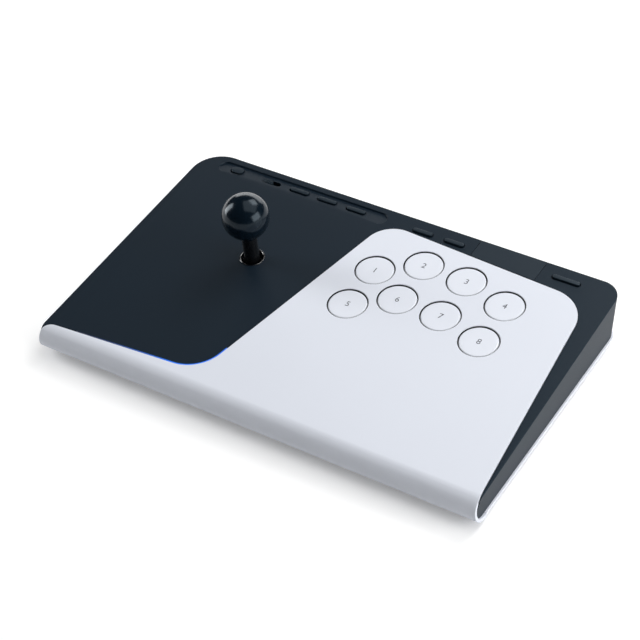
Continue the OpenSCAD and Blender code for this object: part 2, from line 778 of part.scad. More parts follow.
// A cap with its rounded edge, skirt, retaining flange and post, on its own axis
module button_cap(i) {
    top = cap_top;
    steps = 6;
    color("#eef0f4") on_top(button_place(i)[0], button_place(i)[1]) {
        rotate_extrude() polygon([
            [0, top],
            for (k = [0:steps]) let (a = 90 - 90 * k / steps)
                [cap_r - cap_edge_r + cap_edge_r * cos(a), top - cap_edge_r + cap_edge_r * sin(a)],
            [cap_r, cap_flange_w1],
            [cap_r + cap_flange_out, cap_flange_w1],
            [cap_r + cap_flange_out, cap_flange_w0],
            [cap_r - cap_t, cap_flange_w0],
            [cap_r - cap_t, top - cap_t],
            [0, top - cap_t]
        ]);
        translate([0, 0, post_w0]) cylinder(d = post_d, h = top - cap_t - post_w0 + cap_t / 2);
    }
}

// A snap-in housing: thin dark rim, lip, barrel and floor with a square hole for the switch
module button_housing(i) {
    color("#17181b") on_top(button_place(i)[0], button_place(i)[1]) difference() {
        rotate_extrude() polygon([
            [rim_r - rim_t, plate_proud - rim_sink],
            [rim_r, plate_proud - rim_sink],
            [rim_r, lip_w0],
            [barrel_r, lip_w0],
            [barrel_r, housing_w0],
            [0, housing_w0],
            [0, housing_floor_w1],
            [barrel_r - barrel_t, housing_floor_w1],
            [barrel_r - barrel_t, lip_w0 - lip_t],
            [rim_r - rim_t, lip_w0 - lip_t]
        ]);
        translate([0, 0, housing_w0 - over])
            slab(switch_s + 2 * seat_clear, switch_s + 2 * seat_clear, housing_floor_t + 2 * over);
    }
}

module key_switches() color("#3d4045") for (i = [1:8])
    on_top(button_place(i)[0], button_place(i)[1]) difference() {
        union() {
            translate([0, 0, switch_w0])
                slab(switch_s, switch_s, housing_floor_w1 - switch_w0 + switch_lip_t / 2);
            translate([0, 0, housing_floor_w1]) {
                slab(switch_lip_s, switch_lip_s, switch_lip_t);
                slab(switch_top_s, switch_top_s, switch_top_w - housing_floor_w1);
            }
        }
        translate([0, 0, switch_bore_w0]) cylinder(r = post_d / 2 + slide_clear, h = rear_h);
    }

module button_board() color("#23633f") difference() {
    on_top(bb_x0, bb_v0, button_board_w1 - board_t) cube([bb_x1 - bb_x0, bb_v1 - bb_v0, board_t]);
    for (p = bb_columns) on_top(p[0], p[1], button_board_w1 - 2 * board_t)
        cylinder(r = board_screw_r + pilot_clear, h = 3 * board_t);
}

module ball_top() color("#0c0d10") at_lever() difference() {
    union() {
        translate([0, 0, ball_h]) sphere(r = ball_r);
        rotate_extrude() polygon([
            [0, ball_h],
            [neck_r + neck_fillet, ball_h - sqrt(pow(ball_r, 2) - pow(neck_r + neck_fillet, 2))],
            for (k = [0:neck_steps]) let (a = 90 * k / neck_steps)
                [neck_r + neck_fillet * (1 - sin(a)), cover_top - neck_drop + neck_fillet * cos(a)],
            [0, cover_top - neck_drop]
        ]);
    }
    translate([0, 0, -rear_h]) cylinder(r = cover_r + pin_clear, h = rear_h + cover_top);
    translate([0, 0, -rear_h])
        cylinder(r = shaft_r + pin_clear, h = rear_h + ball_h - ball_r + shaft_in_ball);
}

module shaft_cover() color("#101216") at_lever(-cover_below) difference() {
    cylinder(r = cover_r, h = cover_below + cover_top - pin_clear);
    translate([0, 0, -over]) cylinder(r = shaft_r + pin_clear, h = cover_below + cover_top + 2 * over);
}

module lever_shaft() color("#b9bcc2") at_lever(actuator_w0)
    cylinder(r = shaft_r, h = ball_h - ball_r + shaft_in_ball - actuator_w0 - pin_clear);

module pivot_hub() color("#c9ccd1") at_lever(-pivot_depth) difference() {
    union() {
        translate([0, 0, -hub_h / 2]) cylinder(r = hub_r, h = hub_h);
        rotate([90, 0, 0]) cylinder(r = pin_r, h = 2 * ring_out_r - seat_clear, center = true);
    }
    cylinder(r = shaft_r + pin_clear, h = 2 * hub_h, center = true);
}

module gimbal_ring() color("#d8dade") at_lever(-pivot_depth) difference() {
    union() {
        translate([0, 0, -ring_h / 2]) cylinder(r = ring_out_r, h = ring_h);
        rotate([0, 90, 0]) cylinder(r = pin_r, h = 2 * (ring_out_r + trunnion_l), center = true);
    }
    cylinder(r = ring_in_r, h = 2 * ring_h, center = true);
    rotate([90, 0, 0]) cylinder(r = pin_r + pin_clear, h = 3 * ring_out_r, center = true);
}

module lever_screw_places() {
    reach = [flange_l / 2 - 2 * lever_head_r, flange_d / 2 - 2 * lever_head_r];
    for (x = [-1, 1], y = [-1, 1]) at_lever() translate([x * reach[0], y * reach[1], 0]) children();
}

module leg_places() {
    for (x = [-1, 1], y = [-1, 1]) at_lever() translate([x * leg_at, y * leg_at, 0]) children();
}

module lever_housing() color("#2d3036") difference() {
    union() {
        at_lever(roof_w - flange_t) slab(flange_l, flange_d, flange_t);
        at_lever(seat_ring_w0)
            slab(2 * frame_out_u, 2 * frame_out_v, roof_w - seat_ring_w0 - flange_t / 2);
        leg_places() translate([0, 0, gate_w1]) cylinder(r = leg_r, h = roof_w - flange_t / 2 - gate_w1);
    }
    at_lever(seat_ring_w1) slab(2 * frame_in_u, 2 * frame_in_v, roof_w - flange_t - seat_ring_w1);
    at_lever(seat_ring_w0 - over) cylinder(r = seat_hole_r, h = seat_ring_t + 2 * over);
    at_lever(roof_w - flange_t - over) cylinder(r = collar_r, h = flange_t + 2 * over);
    at_lever(-pivot_depth) rotate([0, 90, 0])
        cylinder(r = pin_r + pin_clear, h = 3 * frame_out_u, center = true);
    lever_screw_places() translate([0, 0, roof_w - flange_t - over])
        cylinder(r = lever_screw_r + pilot_clear, h = flange_t + 2 * over);
}

module collar_ring() color("#15171b") at_lever() rotate_extrude() polygon([
    [throat_r, roof_w],
    [collar_r, roof_w],
    [collar_r, collar_lip / 2],
    [collar_r - collar_rim / 2, collar_lip],
    [collar_r - collar_rim, collar_lip],
    [throat_r, -throat_depth]
]);

module actuator() color("#e4e4e0") at_lever(actuator_w0) difference() {
    union() {
        cylinder(r1 = actuator_nose_r - actuator_flange_t / 2, r2 = actuator_nose_r, h = actuator_nose_h);
        translate([0, 0, actuator_nose_h]) cylinder(r = actuator_r, h = actuator_flange_t);
    }
    translate([0, 0, -over])
        cylinder(r = shaft_r + pin_clear, h = actuator_nose_h + actuator_flange_t + 2 * over);
}

// A coil of round wire, swept along its helix, with flat closed ends
function spring_ring(k) =
    let (a = 360 * k / spring_steps, rings = spring_steps * spring_turns)
    let (rise = spring_wire_r + (spring_h - 2 * spring_wire_r) * k / rings)
    [for (j = [0:spring_sides - 1]) let (b = 360 * j / spring_sides, d = spring_r + spring_wire_r * cos(b))
        [d * cos(a), d * sin(a), rise + spring_wire_r * sin(b)]];

// Least distance between one turn's points and the next turn's
function coil_gap() = min([for (k = [0:spring_steps * (spring_turns - 1)], p = spring_ring(k),
    n = [-1:1], q = spring_ring(max(0, k + n) + spring_steps)) norm(p - q)]);

module centring_spring() color("#9fa3a9") at_lever(spring_w0) {
    echo(least_gap_of_the_coil = coil_gap());
    rings = spring_steps * spring_turns;
    points = [for (k = [0:rings]) each spring_ring(k)];
    last = rings * spring_sides;
    faces = [
        for (k = [0:rings - 1], j = [0:spring_sides - 1])
            let (a = k * spring_sides + j, b = k * spring_sides + (j + 1) % spring_sides)
            each [[a, b, b + spring_sides], [a, b + spring_sides, a + spring_sides]],
        for (j = [1:spring_sides - 2]) [0, j + 1, j],
        for (j = [1:spring_sides - 2]) [last, last + j, last + j + 1]
    ];
    polyhedron(points, faces);
}

module restrictor_gate() color("#3a3d43") difference() {
    at_lever(gate_w1 - gate_t) {
        slab(gate_w, gate_w - 2 * gate_corner_r, gate_t);
        slab(gate_w - 2 * gate_corner_r, gate_w, gate_t);
        for (x = [-1, 1], y = [-1, 1])
            translate([x * (gate_w / 2 - gate_corner_r), y * (gate_w / 2 - gate_corner_r), 0])
                cylinder(r = gate_corner_r, h = gate_t);
    }
    at_lever(gate_w1 - gate_t - over) slab(2 * gate_half, 2 * gate_half, gate_t + 2 * over);
}

module lever_board() color("#23633f") difference() {
    union() {
        at_lever(seat_ring_w0 - board_t) slab(lever_board_s, lever_board_s, board_t);
        for (a = [0:90:270]) at_lever(seat_ring_w0 - board_t - sensor_h) rotate([0, 0, a])
            translate([lever_board_hole_r + sensor_s, 0, 0]) slab(sensor_s, sensor_s, sensor_h + board_t / 2);
    }
    at_lever(seat_ring_w0 - board_t - over) cylinder(r = lever_board_hole_r, h = board_t + 2 * over);
}

module lever_screws() color("#8d9095") lever_screw_places() {
    translate([0, 0, roof_w - flange_t - lever_head_t]) cylinder(r = lever_head_r, h = lever_head_t);
    translate([0, 0, roof_w - flange_t - lever_head_t / 2])
        cylinder(r = lever_screw_r, h = flange_t + lever_head_t / 2 + lever_screw_in);
}

// A small pushed button: its top, a flange under the wall and a stem over its switch
module small_button(share, l, w, surface) {
    on_top(half_w * share, strip_v) {
        translate([0, 0, strip_flange_w0]) {
            slot_block(l, w, surface + pill_proud - pill_edge - strip_flange_w0);
            slot_block(l + 2 * pill_flange_out, w + 2 * pill_flange_out, pill_flange_t);
        }
        translate([0, 0, surface + pill_proud - pill_edge - over])
            slot_block(l - pill_edge, w - pill_edge, pill_edge + over);
        translate([0, 0, strip_stem_w0]) cylinder(r = pill_stem_r, h = pill_stem_h + pill_flange_t / 2);
    }
}

module home_button() color("#1c2127") small_button(home_share, home_l, home_w, groove_floor);

module pill_button(i) color("#1f252c")
    small_button(pill_shares[i - 1], i == 6 ? wide_pill_l : pill_l, pill_w, i < 4 ? groove_floor : 0);

module lock_slider() color("#1c2127") on_top(slider_rest_x, strip_v) {
    knob_w = pill_w - 2 * slide_clear;
    translate([0, 0, strip_flange_w0]) slot_block(slider_knob_l, knob_w, groove_floor - strip_flange_w0);
    for (k = [-1:1]) translate([k * slider_knob_l / 5, 0, groove_floor - over / 2])
        slab(slider_ridge, knob_w - slider_ridge, over / 2 + pill_proud / 2);
    translate([0, 0, strip_flange_w0]) slab(slider_plate_l, knob_w + 2 * pill_flange_out, pill_flange_t);
}

module touch_panel() color("#2b343d") {
    stem_h = -touch_t - strip_stem_w0 + pill_travel - touch_travel;
    difference() {
        intersection() {
            touch_prism(0, -touch_t, 0);
            case_block(0, 0, shell_z0);
        }
        edge_waste(edge_chamfer);
    }
    for (side = [-1, 1]) on_top(touch_x + side * (touch_w - touch_leg_t) / 2, strip_v - pill_w / 2) {
        translate([0, 0, strip_flange_w0]) slab(touch_leg_t, pill_w, -strip_flange_w0 - touch_t / 2);
        translate([side * touch_flange_out / 2, 0, strip_flange_w0])
            slab(touch_leg_t + touch_flange_out, pill_w, touch_flange_t - seat_clear);
    }
    on_top(touch_x, strip_v, -touch_t - stem_h) cylinder(r = pill_stem_r, h = stem_h + touch_t / 2);
}

module strip_board() color("#23633f") difference() {
    on_top(strip_board_x0, strip_v - strip_board_d / 2, strip_board_w1 - board_t)
        cube([strip_board_x1 - strip_board_x0, strip_board_d, board_t]);
    for (x = strip_columns) on_top(x, strip_v, strip_board_w1 - 2 * board_t)
        cylinder(r = board_screw_r + pilot_clear, h = 3 * board_t);
}

module strip_switches() color("#26282c") {
    for (s = concat(pill_shares, [home_share, touch_share])) on_top(half_w * s, strip_v, strip_board_w1)
        slab(tact_s, tact_s, tact_h);
    on_top(slider_x, strip_v, strip_board_w1) slab(2 * tact_s, tact_s, tact_h);
}

module main_board() color("#23633f") difference() {
    translate([main_board_x, main_board_y, main_board_z0]) {
        slab(main_board_l, main_board_d, board_t);
        for (c = chip_shares) translate([c[0] * main_board_l, c[1] * main_board_d, board_t / 2])
            slab(c[2] * main_board_l, c[3] * main_board_d, chip_t + board_t / 2);
    }
    translate([0, 0, shell_z0]) main_board_corners() cylinder(r = board_screw_r + pilot_clear, h = rear_h);
}

module battery() color("#5b6067")
    translate([battery_x - battery_l / 2, battery_y, shell_z0 + battery_t / 2]) rotate([90, 0, 90])
        slot_block(battery_d, battery_t, battery_l);

module usb_socket() color("#a9adb3") on_top(usb_x, usb_end_v - usb_l, usb_mid_w) rotate([-90, 0, 0]) {
    difference() {
        slot_block(usb_w, usb_h, usb_l);
        translate([0, 0, usb_l - usb_tongue_l - usb_tongue_t])
            slot_block(usb_w - 2 * usb_wall, usb_h - 2 * usb_wall, usb_l);
    }
    slab(usb_tongue_w, usb_tongue_t, usb_l - usb_tongue_t);
}

module board_screws() color("#8d9095") {
    for (p = bb_columns) on_top(p[0], p[1], button_board_w1 - board_t - board_head_t) {
        cylinder(r = board_head_r, h = board_head_t);
        cylinder(r = board_screw_r, h = board_head_t + board_t + board_screw_in - pilot_clear);
    }
    for (x = strip_columns) on_top(x, strip_v, strip_board_w1 - board_t - board_head_t) {
        cylinder(r = board_head_r, h = board_head_t);
        cylinder(r = board_screw_r, h = board_head_t + board_t + board_screw_in / 2 - pilot_clear);
    }
    main_board_corners() translate([0, 0, shell_z0 - base_t / 2 + pilot_clear]) {
        cylinder(r = board_screw_r, h = base_t / 2 + standoff_h + board_t);
        translate([0, 0, base_t / 2 - pilot_clear + standoff_h + board_t])
            cylinder(r = board_head_r, h = board_head_t);
    }
}

upper_shell();
faceplate();
base_plate();
light_bar();
light_board();
rubber_feet();
case_screws();
button_cap(1);  // button_cap_1
button_cap(2);  // button_cap_2
button_cap(3);  // button_cap_3
button_cap(4);  // button_cap_4
button_cap(5);  // button_cap_5
button_cap(6);  // button_cap_6
button_cap(7);  // button_cap_7
button_cap(8);  // button_cap_8
button_housing(1);  // button_housing_1
button_housing(2);  // button_housing_2
button_housing(3);  // button_housing_3
button_housing(4);  // button_housing_4
button_housing(5);  // button_housing_5
button_housing(6);  // button_housing_6
button_housing(7);  // button_housing_7
button_housing(8);  // button_housing_8
key_switches();
button_board();
ball_top();
shaft_cover();
lever_shaft();
pivot_hub();
gimbal_ring();
lever_housing();
collar_ring();
actuator();
centring_spring();
restrictor_gate();
lever_board();
lever_screws();
home_button();
lock_slider();
pill_button(1);  // pill_button_1
pill_button(2);  // pill_button_2
pill_button(3);  // pill_button_3
pill_button(4);  // pill_button_4
pill_button(5);  // pill_button_5
pill_button(6);  // pill_button_6
touch_panel();
strip_board();
strip_switches();
main_board();
battery();
usb_socket();
board_screws();
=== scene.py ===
# %% [markdown]
# # An arcade fight stick, dressed for its portrait
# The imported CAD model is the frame: every solid is already at its real size and place. This lesson
# gives each surface its finish, swaps some plain solids for finer ones, and sets up a small
# studio. Lengths are in metres, X runs to the right, Y to the rear and Z up.

# %% Load the frame
import json
import math

import bmesh
import bpy
from mathutils import Matrix, Vector


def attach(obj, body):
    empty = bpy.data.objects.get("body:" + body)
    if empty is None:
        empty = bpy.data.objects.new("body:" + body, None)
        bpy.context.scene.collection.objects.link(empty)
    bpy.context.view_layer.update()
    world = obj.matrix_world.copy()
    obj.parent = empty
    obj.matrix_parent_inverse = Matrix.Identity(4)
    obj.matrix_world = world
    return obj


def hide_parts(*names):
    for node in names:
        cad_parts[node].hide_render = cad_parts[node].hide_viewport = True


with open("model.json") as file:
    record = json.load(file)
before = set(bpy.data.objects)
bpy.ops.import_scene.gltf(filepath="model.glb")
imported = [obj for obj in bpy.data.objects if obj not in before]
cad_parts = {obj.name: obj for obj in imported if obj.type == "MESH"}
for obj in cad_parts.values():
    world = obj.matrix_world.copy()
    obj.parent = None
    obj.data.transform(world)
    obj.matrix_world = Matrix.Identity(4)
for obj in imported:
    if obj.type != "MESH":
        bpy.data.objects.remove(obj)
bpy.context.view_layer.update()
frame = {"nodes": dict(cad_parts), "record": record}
nodes = frame["nodes"]

# %% [markdown]
# The case's top slopes towards the player, and almost every piece stands square to it. One matrix
# stands for that sloping top, so a piece is made lying flat at the origin and then set in place
# with u to the right, v up the slope and w off the surface. The alternative, turning each object,
# is ruled out: a finished object stays at the origin, because its patterns and its export depend
# on that. The matrix's inverse tells where a packed point lies on the top.

# %% The sloping top
MM = 0.001
SLOPE = math.radians(4.53)
MIDDLE_HEIGHT = 32.692 * MM
top_frame = Matrix.Translation((0, 0, MIDDLE_HEIGHT)) @ Matrix.Rotation(SLOPE, 4, "X")
top_turn = top_frame.to_3x3()
flat_frame = top_frame.inverted()


def on_top(u, v, w=0.0):
    return top_frame @ Matrix.Translation((u, v, w))


# %% [markdown]
# ## Studio first
# The camera stands where the photographer's stood: right of the player, well above the table, with
# a long lens. Its place was worked out from the case's own edges, so it is written down as an
# azimuth, an elevation, a small roll, a distance and the pixel at which the origin is seen. A
# camera aimed by eye would never match the outline.

# %% Camera
AZIMUTH = math.radians(34.381)
ELEVATION = math.radians(40.927)
ROLL = math.radians(-3.862)
FOCAL_PIXELS = 1807.96
FRAME_PIXELS = 640
ORIGIN_DEPTH = 1301.24 * MM
ORIGIN_PIXEL = (330.2, 343.3)
SENSOR_WIDTH_IN_MM = 36
NEAREST_SEEN = 0.05
FARTHEST_SEEN = 20

back = Vector((
    math.sin(AZIMUTH) * math.cos(ELEVATION),
    -math.cos(AZIMUTH) * math.cos(ELEVATION),
    math.sin(ELEVATION),
))
level_right = Vector((math.cos(AZIMUTH), math.sin(AZIMUTH), 0))
level_up = back.cross(level_right)
right = level_right * math.cos(ROLL) + level_up * math.sin(ROLL)
up = level_up * math.cos(ROLL) - level_right * math.sin(ROLL)
half_frame = FRAME_PIXELS / 2
origin_seen = Vector((
    (ORIGIN_PIXEL[0] - half_frame) / FOCAL_PIXELS * ORIGIN_DEPTH,
    (half_frame - ORIGIN_PIXEL[1]) / FOCAL_PIXELS * ORIGIN_DEPTH,
    -ORIGIN_DEPTH,
))
turn = Matrix((right, up, back)).transposed()

lens = bpy.data.cameras.new("camera")
lens.sensor_width = SENSOR_WIDTH_IN_MM
lens.lens = FOCAL_PIXELS / FRAME_PIXELS * lens.sensor_width
lens.clip_start = NEAREST_SEEN
lens.clip_end = FARTHEST_SEEN
camera = bpy.data.objects.new("camera", lens)
camera.matrix_world = Matrix.Translation(-(turn @ origin_seen)) @ turn.to_4x4()
bpy.context.scene.collection.objects.link(camera)
bpy.context.scene.camera = camera
print("camera at", [round(v, 3) for v in camera.location], "lens", round(lens.lens, 1))

# %% [markdown]
# A material in Blender is a graph: nodes that give or change a value, joined by links, with an
# output at the end. Three short helpers start a graph, work out one value from two, and send a
# shader to the output. Each finish below is then no longer than what it has to say.

# %% A material's nodes


def new_material(name):
    material = bpy.data.materials.new(name)
    material.use_nodes = True
    material.node_tree.nodes.clear()
    return material, material.node_tree.nodes, material.node_tree.links


def worked_out(tree, links, operation, first, second):
    maths = tree.new("ShaderNodeMath")
    maths.operation = operation
    links.new(first, maths.inputs[0])
    links.new(second, maths.inputs[1])
    return maths.outputs[0]


def show(tree, links, shader):
    out = tree.new("ShaderNodeOutputMaterial")
    links.new(shader.outputs[0], out.inputs["Surface"])


print("materials so far", len(bpy.data.materials))

# %% [markdown]
# The background is a plain white floor. It gets its white from its own colour and, for what the
# camera and the reflections see, a little added glow. More lamp light would bleach the white plate
# too. Near the case the glow is small enough that the soft shadow still shows, and it grows to
# full white further out, where the lamps no longer reach.

# %% Floor
FLOOR_COLOUR = (0.89, 0.89, 0.89, 1)
FLOOR_GLOW = 0.21
FULL_GLOW = 1.0
GLOW_NEAR = 0.6
GLOW_FAR = 1.3
FLOOR_REACH = 8


def white_floor():
    material, tree, links = new_material("white_floor")
    ray = tree.new("ShaderNodeLightPath").outputs
    seen = worked_out(tree, links, "MAXIMUM", ray["Is Camera Ray"], ray["Is Glossy Ray"])
    seen = worked_out(tree, links, "MAXIMUM", seen, ray["Is Transmission Ray"])
    where = tree.new("ShaderNodeTexCoord")
    distance = tree.new("ShaderNodeVectorMath")
    distance.operation = "LENGTH"
    links.new(where.outputs["Object"], distance.inputs[0])
    far = tree.new("ShaderNodeMapRange")
    far.inputs["From Min"].default_value = GLOW_NEAR
    far.inputs["From Max"].default_value = GLOW_FAR
    far.inputs["To Min"].default_value = FLOOR_GLOW
    far.inputs["To Max"].default_value = FULL_GLOW
    links.new(distance.outputs["Value"], far.inputs["Value"])
    glow = worked_out(tree, links, "MULTIPLY", seen, far.outputs["Result"])
    matt = tree.new("ShaderNodeBsdfDiffuse")
    matt.inputs["Color"].default_value = FLOOR_COLOUR
    light = tree.new("ShaderNodeEmission")
    links.new(glow, light.inputs["Strength"])
    both = tree.new("ShaderNodeAddShader")
    links.new(matt.outputs[0], both.inputs[0])
    links.new(light.outputs[0], both.inputs[1])
    show(tree, links, both)
    return material


floor_mesh = bmesh.new()
bmesh.ops.create_grid(floor_mesh, x_segments=1, y_segments=1, size=FLOOR_REACH)
floor_data = bpy.data.meshes.new("floor")
floor_mesh.to_mesh(floor_data)
floor_mesh.free()
floor_data.materials.append(white_floor())
floor = bpy.data.objects.new("floor", floor_data)
bpy.context.scene.collection.objects.link(floor)
print("floor", [round(v, 1) for v in floor.dimensions])

# %% [markdown]
# The light is soft and comes mostly from above and behind, which leaves the rounded front edge a
# little darker than the flat top. A low, wide lamp behind the case skims the top and lights the
# groove at its rear. Boxes at the left and right lift the side faces and draw the crescents on the
# glossy ball. Area lamps do this better than points, because a ball shows the lamp's own outline.

# %% Lamps and world
# Name, place, point it is aimed at, width, height, watts.
LAMPS = [
    ("key_box", (0.22, 1.03, 1.16), (0, 0, 0.02), 0.7, 0.7, 8),
    ("top_box", (0.5, 0.4, 1.6), (0, 0, 0), 1.8, 1.8, 16.5),
    ("backdrop", (-0.6, 1.5, 0.42), (0, 0, 0.03), 2.0, 0.6, 11.5),
    ("left_box", (-1.4, -0.15, 0.45), (0, 0, 0.05), 0.5, 1.1, 14.5),
    ("right_box", (1.5, 0.05, 0.55), (0, 0, 0.02), 1.2, 0.8, 17.5),
]
SKY_COLOUR = (0.93, 0.96, 1, 1)
SKY_STRENGTH = 0.02


def soft_box(name, place, target, width, height, watts):
    data = bpy.data.lights.new(name, "AREA")
    data.shape = "RECTANGLE"
    data.size = width
    data.size_y = height
    data.energy = watts
    lamp = bpy.data.objects.new(name, data)
    away = Vector(place) - Vector(target)
    aim = away.to_track_quat("Z", "Y").to_matrix().to_4x4()
    lamp.matrix_world = Matrix.Translation(place) @ aim
    bpy.context.scene.collection.objects.link(lamp)


for lamp_row in LAMPS:
    soft_box(*lamp_row)

world = bpy.data.worlds.new("studio")
world.use_nodes = True
sky = world.node_tree.nodes["Background"]
sky.inputs["Color"].default_value = SKY_COLOUR
sky.inputs["Strength"].default_value = SKY_STRENGTH
bpy.context.scene.world = world
bpy.context.scene.view_settings.view_transform = "Standard"

# %% [markdown]
# ## Finishes
# Moulded plastic is never one flat colour: its texture breaks the gloss into tiny points, and
# large faces drift a little in tone. Each plastic here reads the piece's own coordinates, adds a
# fine grain as bump and lets the roughness wander. A flat colour with a single roughness would
# look like paper.

# %% How a plastic is made
DRIFT_PER_METRE = 14
DRIFT_DETAIL = 3
GRAIN_DETAIL = 2
GRAIN_STRENGTH = 0.35
SMOOTHEST = 0.02
COAT_ROUGHNESS = 0.08
# A Mix node's sockets for colours: the factor, the two to mix, and the result.
MIX_FACTOR, FIRST_COLOUR, SECOND_COLOUR, MIXED_COLOUR = 0, 6, 7, 2


def noise(tree, links, where, per_metre, detail):
    pattern = tree.new("ShaderNodeTexNoise")
    pattern.inputs["Scale"].default_value = per_metre
    pattern.inputs["Detail"].default_value = detail
    links.new(where.outputs["Object"], pattern.inputs["Vector"])
    return pattern.outputs["Fac"]


def plastic(name, colour, roughness, drift=0.06, grain_per_metre=1800, bump=0.01, coat=0.0,
            spread=0.06, shine=0.5, tint=(1, 1, 1)):
    material, tree, links = new_material(name)
    where = tree.new("ShaderNodeTexCoord")
    shader = tree.new("ShaderNodeBsdfPrincipled")
    shader.inputs["Specular IOR Level"].default_value = shine
    shader.inputs["Specular Tint"].default_value = (*tint, 1)
    shader.inputs["Coat Weight"].default_value = coat
    shader.inputs["Coat Roughness"].default_value = COAT_ROUGHNESS
    show(tree, links, shader)

    tone = tree.new("ShaderNodeMix")
    tone.data_type = "RGBA"
    darker = [c * (1 - drift) for c in colour]
    lighter = [min(1.0, c * (1 + drift)) for c in colour]
    tone.inputs[FIRST_COLOUR].default_value = (*darker, 1)
    tone.inputs[SECOND_COLOUR].default_value = (*lighter, 1)
    drifting = noise(tree, links, where, DRIFT_PER_METRE, DRIFT_DETAIL)
    links.new(drifting, tone.inputs[MIX_FACTOR])
    links.new(tone.outputs[MIXED_COLOUR], shader.inputs["Base Color"])

    grain = noise(tree, links, where, grain_per_metre, GRAIN_DETAIL)
    wander = tree.new("ShaderNodeMapRange")
    wander.inputs["To Min"].default_value = max(SMOOTHEST, roughness - spread)
    wander.inputs["To Max"].default_value = roughness + spread
    links.new(grain, wander.inputs["Value"])
    links.new(wander.outputs["Result"], shader.inputs["Roughness"])
    relief = tree.new("ShaderNodeBump")
    relief.inputs["Strength"].default_value = GRAIN_STRENGTH
    relief.inputs["Distance"].default_value = bump * MM
    links.new(grain, relief.inputs["Height"])
    links.new(relief.outputs["Normal"], shader.inputs["Normal"])
    return material


def shader_of(material):
    return next(n for n in material.node_tree.nodes if n.type == "BSDF_PRINCIPLED")


print("materials so far", len(bpy.data.materials))

# %% [markdown]
# The case is a blue-black plastic with a fine texture, and its gloss is cool too, which a tint on
# the reflections gives. The faceplate, base and caps are a cool white, the caps smoother and under
# a thin clear coat. The ball and the ring round the lever are polished. Keeping all of these in
# one table lets a reader compare them, where one function for each finish would hide the numbers.

# %% Plastics
COOL = (0.72, 0.88, 1.0)
PLASTICS = {
    "dark_case": dict(colour=(0.0026, 0.0085, 0.0165), roughness=0.46, drift=0.10, bump=0.03,
                      shine=0.25, tint=COOL),
    "white_plate": dict(colour=(0.71, 0.74, 0.81), roughness=0.46, drift=0.012, bump=0.012,
                        shine=0.3),
    "base": dict(colour=(0.74, 0.76, 0.83), roughness=0.5, drift=0.02, bump=0.02),
    "cap": dict(colour=(0.77, 0.80, 0.87), roughness=0.30, drift=0.01, bump=0.004, coat=0.3),
    "housing": dict(colour=(0.004, 0.0045, 0.006), roughness=0.45),
    "switch": dict(colour=(0.03, 0.032, 0.036), roughness=0.5),
    "ball": dict(colour=(0.003, 0.007, 0.012), roughness=0.18, drift=0.05, bump=0.0, spread=0.02,
                 shine=0.24, tint=COOL),
    "collar": dict(colour=(0.003, 0.004, 0.006), roughness=0.12, drift=0.05, bump=0.0, coat=1.0,
                   spread=0.02),
    "cover": dict(colour=(0.003, 0.0035, 0.0045), roughness=0.28, bump=0.002),
    "dark_nylon": dict(colour=(0.02, 0.022, 0.026), roughness=0.55),
    "pale_nylon": dict(colour=(0.72, 0.72, 0.68), roughness=0.45),
    "rubber": dict(colour=(0.012, 0.012, 0.013), roughness=0.85, bump=0.05),
    "small_button": dict(colour=(0.004, 0.0105, 0.018), roughness=0.45, bump=0.02, shine=0.4,
                         tint=COOL),
    "touch": dict(colour=(0.0045, 0.0105, 0.0185), roughness=0.48, bump=0.03, shine=0.33,
                  tint=COOL),
    "cell": dict(colour=(0.10, 0.11, 0.13), roughness=0.4),
    "legend": dict(colour=(0.05, 0.055, 0.07), roughness=0.5, bump=0.0),
}
finishes = {name: plastic(name, **look) for name, look in PLASTICS.items()}
print(len(finishes), "plastics")

# %% [markdown]
# Metal parts need a metallic shader with a fine brushed or cast break-up, and circuit boards a
# green solder mask with faint tracks under it, for which a brick pattern does. They show only when
# the case is taken apart, yet they get the same care as the outside.

# %% Metals and boards
METALS = {
    "steel": dict(colour=(0.56, 0.57, 0.60), roughness=0.3, grain_per_metre=2600, bump=0.004),
    "casting": dict(colour=(0.42, 0.43, 0.46), roughness=0.42, grain_per_metre=1200, bump=0.02),
}
BOARD_LOOK = dict(colour=(0.012, 0.085, 0.035), roughness=0.35, drift=0.1, coat=0.4)
TRACKS = {
    "Scale": 220,
    "Color1": (0.010, 0.080, 0.033, 1),
    "Color2": (0.014, 0.098, 0.040, 1),
    "Mortar": (0.006, 0.055, 0.022, 1),
    "Mortar Size": 0.06,
}


def metal(name, look):
    material = plastic(name, **look)
    shader_of(material).inputs["Metallic"].default_value = 1
    return material


def board_finish():
    material = plastic("board", **BOARD_LOOK)
    tree, links = material.node_tree.nodes, material.node_tree.links
    where = next(n for n in tree if n.type == "TEX_COORD")
    tracks = tree.new("ShaderNodeTexBrick")
    for setting, value in TRACKS.items():
        tracks.inputs[setting].default_value = value
    links.new(where.outputs["Object"], tracks.inputs["Vector"])
    links.new(tracks.outputs["Color"], shader_of(material).inputs["Base Color"])
    return material


for name, look in METALS.items():
    finishes[name] = metal(name, look)
finishes["board"] = board_finish()
print("metals and boards:", ", ".join([*METALS, "board"]))

# %% [markdown]
# The light guide glows blue along the seam in front of the lever, strongest near the bend and
# fading towards both of its ends. The glow is a colour ramp over the piece's own X, so it stays
# with the piece in every view. A lamp in the seam would light the plate too much.

# %% Light guide
GLOW_FROM = -143 * MM
GLOW_TO = -24 * MM
# Share of the way from GLOW_FROM to GLOW_TO, and how strong the glow is there.
GLOW_STOPS = [
    (0.0, 0.0), (0.2, 0.12), (0.45, 0.55), (0.6, 1.0), (0.8, 1.0), (0.93, 0.35), (1.0, 0.0),
]
GLOW_STRENGTH = 1.1
GLOW_COLOUR = (0.0, 0.15, 0.8, 1)
GUIDE_COLOUR = (0.02, 0.03, 0.06, 1)
GUIDE_ROUGHNESS = 0.35


